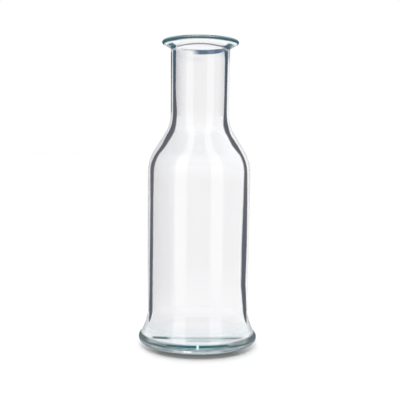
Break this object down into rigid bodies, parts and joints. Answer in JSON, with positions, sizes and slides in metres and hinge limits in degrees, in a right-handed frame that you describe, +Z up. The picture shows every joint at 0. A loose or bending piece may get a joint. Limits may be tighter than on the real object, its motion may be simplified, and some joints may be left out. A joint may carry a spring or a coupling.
{
  "type": "water carafe",
  "caption": "Clear glass table carafe with a beaded heavy foot, waisted body, soft shoulder, straight neck and wide rolled pouring lip.",
  "frame": {"origin": "centre of the foot, on the surface that the carafe stands on", "axes": "+Z up along the carafe's own axis, from the foot to the lip; the carafe is round, so +X and +Y are free"},
  "size_m": [0.1062, 0.1062, 0.268],
  "materials": {
    "clear_glass": "clear soda-lime glass, fire-polished, with a blue-green tint where it is thick"
  },
  "bodies": {
    "root": {"carafe": "clear_glass"}
  },
  "joints": []
}
